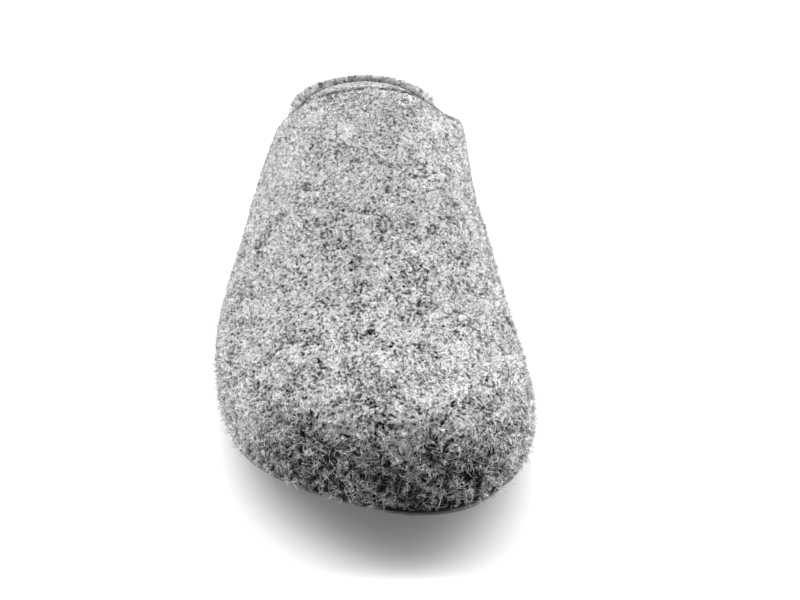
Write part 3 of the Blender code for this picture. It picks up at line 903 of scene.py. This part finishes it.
# Loose fibres: the longest and most curled, which lie over the others; lighter at the toe as painted light
LOOSE_FIBRES, DARK_LOOSE, LOOSE_PAINTED_LIGHT_AT_TOE = 12000, 0.4, 0.3
random = np.random.default_rng(32)
loose_cover = shell_nap * (1 + shell_toe + MORE_LOOSE_AT_FRINGE * shell_fringe)
roots, normals, rooted = roots_on(upper, LOOSE_FIBRES, loose_cover, random)
fibre_piece("felt_loose_fibres", roots, normals, steps=5,
            length=random.uniform(2.0, 5.5, LOOSE_FIBRES) * MM,
            width=random.uniform(0.07, 0.12, LOOSE_FIBRES) * MM,
            lift=random.uniform(0.3, 0.8, LOOSE_FIBRES) * MM,
            tip=random.exponential(0.8, LOOSE_FIBRES).clip(0, 2.8) * MM * shell_loose[rooted],
            curl=random.normal(0, 2.2, LOOSE_FIBRES),
            roll=shell_roll[rooted],
            tone=wool_tones(LOOSE_FIBRES, DARK_LOOSE, random) + LOOSE_PAINTED_LIGHT_AT_TOE * shell_toe[rooted],
            depth=shell_depth[rooted], own=1.0, random=random)

# Footbed: short, wide fibres pressed flat, only where the footbed shows
FOOTBED_FIBRES, FOOTBED_BARE_Y, FOOTBED_SHADE = 5000, 5.0, -0.12
random = np.random.default_rng(33)
footbed_y = np.array([footbed_points[face, 1].mean() for face in footbed_faces])
footbed_nap = (footbed_y > FOOTBED_BARE_Y).astype(float)
roots, normals, _ = roots_on(footbed, FOOTBED_FIBRES, footbed_nap, random)
fibre_piece("footbed_nap", roots, normals, steps=4,
            length=random.uniform(0.8, 2.4, FOOTBED_FIBRES) * MM,
            width=random.uniform(0.10, 0.20, FOOTBED_FIBRES) * MM,
            lift=random.uniform(0.0, 0.15, FOOTBED_FIBRES) * MM,
            tip=random.uniform(-0.1, 0.2, FOOTBED_FIBRES) * MM,
            curl=random.normal(0, 1.8, FOOTBED_FIBRES),
            roll=NAP_ROLL,
            tone=wool_tones(FOOTBED_FIBRES, DARK_SHARE, random) + FOOTBED_SHADE,
            depth=np.ones(FOOTBED_FIBRES), own=1.0, random=random)

# Studio. A plain white paper floor in a white tent that is open towards the camera. The floor's own
# bounce is left to the tent's lower half.
FLOOR_HALF = 4.0
floor_mesh = bpy.data.meshes.new("floor")
floor_mesh.from_pydata([(-FLOOR_HALF, -FLOOR_HALF, 0), (FLOOR_HALF, -FLOOR_HALF, 0),
                        (FLOOR_HALF, FLOOR_HALF, 0), (-FLOOR_HALF, FLOOR_HALF, 0)], [], [(0, 1, 2, 3)])
white_paper, tree, shader = new_material("white_paper")
shader.inputs["Base Color"].default_value = linear_colour("#d2d2d2")
shader.inputs["Roughness"].default_value = 0.95
shader.inputs["Specular IOR Level"].default_value = 0.0
floor_mesh.materials.append(white_paper)
floor = bpy.data.objects.new("floor", floor_mesh)
bpy.context.collection.objects.link(floor)
floor.visible_diffuse = False
floor.visible_shadow = False

# The tent's light by direction: its arch stands over the slipper from side to side and is brightest
# above, its front is open and dark, and its back wall and the floor's bounce from below are dimmer
ARCH_LEVEL, BACK_SHARE, LOW_SHARE, FLOOR_SHARE = 16.8, 0.17, 0.32, 0.38
FRONT_LEVEL, PAPER_LEVEL = 0.03, 1.2
FRONT = Vector((-0.01, -1.0, 0.37)).normalized()
OPENING_FIRST, OPENING_FULL = 0.07, 0.1
BACK_FIRST, BACK_FULL, HIGH = 0.2, 0.7, 0.7
world = bpy.data.worlds.new("white_tent")
world.use_nodes = True
bpy.context.scene.world = world
tree = world.node_tree
place = add_node(tree, "TexCoord", {})
axis = add_node(tree, "SeparateXYZ", {"Vector": (place, "Generated")})
above = add_node(tree, "VectorMath", {0: (place, "Generated"), 1: (-1.0, -1.0, 0.0)}, operation="MAXIMUM")
frontal = add_node(tree, "VectorMath", {0: (above, "Vector"), 1: FRONT}, operation="DOT_PRODUCT")
arch = add_node(tree, "MapRange", {"Value": (frontal, "Value"), "From Min": OPENING_FIRST,
                                   "From Max": OPENING_FULL, "To Min": ARCH_LEVEL, "To Max": FRONT_LEVEL})
back = add_node(tree, "MapRange", {"Value": (axis, "Y"), "From Min": BACK_FIRST, "From Max": BACK_FULL,
                                   "To Min": 1.0, "To Max": BACK_SHARE}, interpolation_type="SMOOTHSTEP")
height = add_node(tree, "MapRange", {"Value": (axis, "Z"), "From Min": 0.0, "From Max": HIGH,
                                     "To Min": LOW_SHARE, "To Max": 1.0}, interpolation_type="SMOOTHSTEP")
below = add_node(tree, "Math", {0: (axis, "Z"), 1: 0.0}, operation="LESS_THAN")
height = add_node(tree, "Mix", {"Factor": (below, "Value"), "A": (height, "Result"), "B": FLOOR_SHARE},
                  data_type="FLOAT")
level = add_node(tree, "Math", {0: (arch, "Result"), 1: (back, "Result")}, operation="MULTIPLY")
level = add_node(tree, "Math", {0: (level, "Value"), 1: (height, "Result")}, operation="MULTIPLY")
level = add_node(tree, "Math", {0: (below, "Value"), 1: PAPER_LEVEL, 2: (level, "Value")},
                 operation="MULTIPLY_ADD")
tree.links.new(level.outputs["Value"], tree.nodes["Background"].inputs["Strength"])
tree.nodes["Background"].inputs["Color"].default_value = (1.0, 1.0, 1.0, 1.0)

# The photograph's view: from in front of the toe, tilted down and turned a little
CAMERA_PLACE = (0.00666, -0.3829, 0.2691)
CAMERA_TILT, CAMERA_TURN = 35.55, -0.6
camera_data = bpy.data.cameras.new("camera")
camera_data.lens = 54.0
camera_data.sensor_width = 36.0
camera_data.clip_start = 0.01
camera = bpy.data.objects.new("camera", camera_data)
camera.location = CAMERA_PLACE
camera.rotation_euler = (np.radians(90 - CAMERA_TILT), 0.0, np.radians(CAMERA_TURN))
bpy.context.collection.objects.link(camera)
bpy.context.scene.camera = camera
bpy.context.scene.view_settings.view_transform = "Standard"
